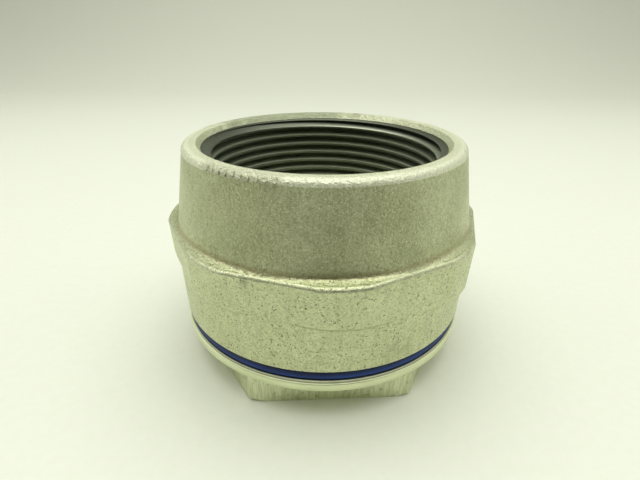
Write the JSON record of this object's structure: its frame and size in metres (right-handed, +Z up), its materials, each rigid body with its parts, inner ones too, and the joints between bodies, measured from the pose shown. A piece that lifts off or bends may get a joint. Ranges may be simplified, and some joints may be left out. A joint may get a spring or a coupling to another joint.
{
  "type": "threaded conduit hub",
  "caption": "Threaded hub that joins a conduit to an enclosure wall: cast body with a tapered inside thread, blue sealing ring, and a flanged hexagon nipple that screws in from below.",
  "frame": {"origin": "centre of the nipple's hexagon, on its lower face, which the fitting stands on", "axes": "+Z up along the bore, from the nipple's hexagon to the conduit's mouth; +X and +Y across it"},
  "size_m": [0.0968, 0.0968, 0.0665],
  "materials": {
    "cast_zinc": "as-cast malleable iron, zinc plated, satin",
    "blue_rubber": "moulded rubber, satin",
    "turned_steel": "turned and polished",
    "plated_nipple": "turned, zinc plated",
    "throat_plastic": "moulded, matte"
  },
  "bodies": {
    "hub": {"hub_body": "cast_zinc", "sealing_ring": "blue_rubber"},
    "washer": {"slip_washer": "turned_steel"},
    "nipple": {"hex_nipple": "plated_nipple", "insulating_throat": "throat_plastic"}
  },
  "joints": [
    {"name": "nipple_travel", "type": "slide", "parent": "hub", "child": "washer", "axis": [0, 0, 1], "range_m": [-0.01588, 0]},
    {"name": "nipple_turn", "type": "hinge", "parent": "washer", "child": "nipple", "pos_m": [0, 0, 0], "axis": [0, 0, 1], "range_deg": [-1800, 0]}
  ],
  "couplings": [
    {"joint": "nipple_travel", "follows": "nipple_turn", "m_per_rad": 0.00050532}
  ]
}
